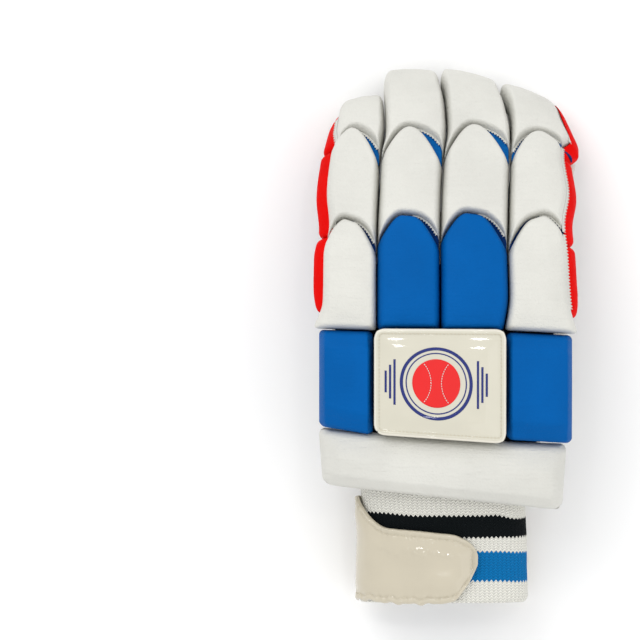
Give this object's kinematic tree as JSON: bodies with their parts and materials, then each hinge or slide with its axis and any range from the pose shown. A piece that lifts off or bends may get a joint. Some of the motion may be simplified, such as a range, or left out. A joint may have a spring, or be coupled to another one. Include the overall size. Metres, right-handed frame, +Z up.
{
  "type": "cricket batting glove",
  "caption": "Padded left-hand glove with foam rolls over the fingers, a covered thumb, a leather palm, a knitted wristband and a strap.",
  "frame": {"origin": "middle of the glove's footprint, on the table it lies on palm down", "axes": "+Y towards the fingertips, +X towards the index finger and thumb side, +Z up out of the padded back"},
  "size_m": [0.1366, 0.2796, 0.0847],
  "materials": {
    "knit": "matte",
    "leather": "matte",
    "white_skin": "satin",
    "blue_skin": "satin",
    "red_skin": "satin",
    "gloss_skin": "gloss",
    "net": "matte"
  },
  "bodies": {
    "root": {"little_stall": "knit", "little_palm_strip": "leather", "little_tip_cap": "leather", "little_tip_roll": "white_skin", "little_middle_roll": "white_skin", "little_base_roll": "white_skin", "ring_stall": "knit", "ring_palm_strip": "leather", "ring_tip_cap": "leather", "ring_tip_roll": "white_skin", "ring_middle_roll": "white_skin", "ring_base_roll": "blue_skin", "middle_stall": "knit", "middle_palm_strip": "leather", "middle_tip_cap": "leather", "middle_tip_roll": "white_skin", "middle_middle_roll": "white_skin", "middle_base_roll": "blue_skin", "index_stall": "knit", "index_palm_strip": "leather", "index_tip_cap": "leather", "index_tip_roll": "white_skin", "index_middle_roll": "white_skin", "index_base_roll": "white_skin", "little_side_base": "red_skin", "little_side_middle": "red_skin", "little_side_tip": "red_skin", "index_side_base": "red_skin", "index_side_middle": "red_skin", "index_side_tip": "red_skin", "index_side_pad_knuckle": "white_skin", "index_side_pad_lower": "white_skin", "index_side_pad_upper": "white_skin", "back_panel": "knit", "knuckle_pad_little": "blue_skin", "knuckle_pad_index": "blue_skin", "knuckle_pad_centre": "white_skin", "wrist_roll": "white_skin", "centre_plate": "gloss_skin", "palm_leather": "leather", "index_gusset": "knit", "little_gusset": "knit", "heel_patch": "leather", "thumb_stall": "leather", "thumb_base_pad": "white_skin", "thumb_tip_pad": "blue_skin", "thumb_fin": "leather", "thumb_mesh": "net", "wristband": "knit", "slit_piping_palm": "leather", "slit_piping_back": "leather", "strap": "gloss_skin"}
  },
  "joints": []
}
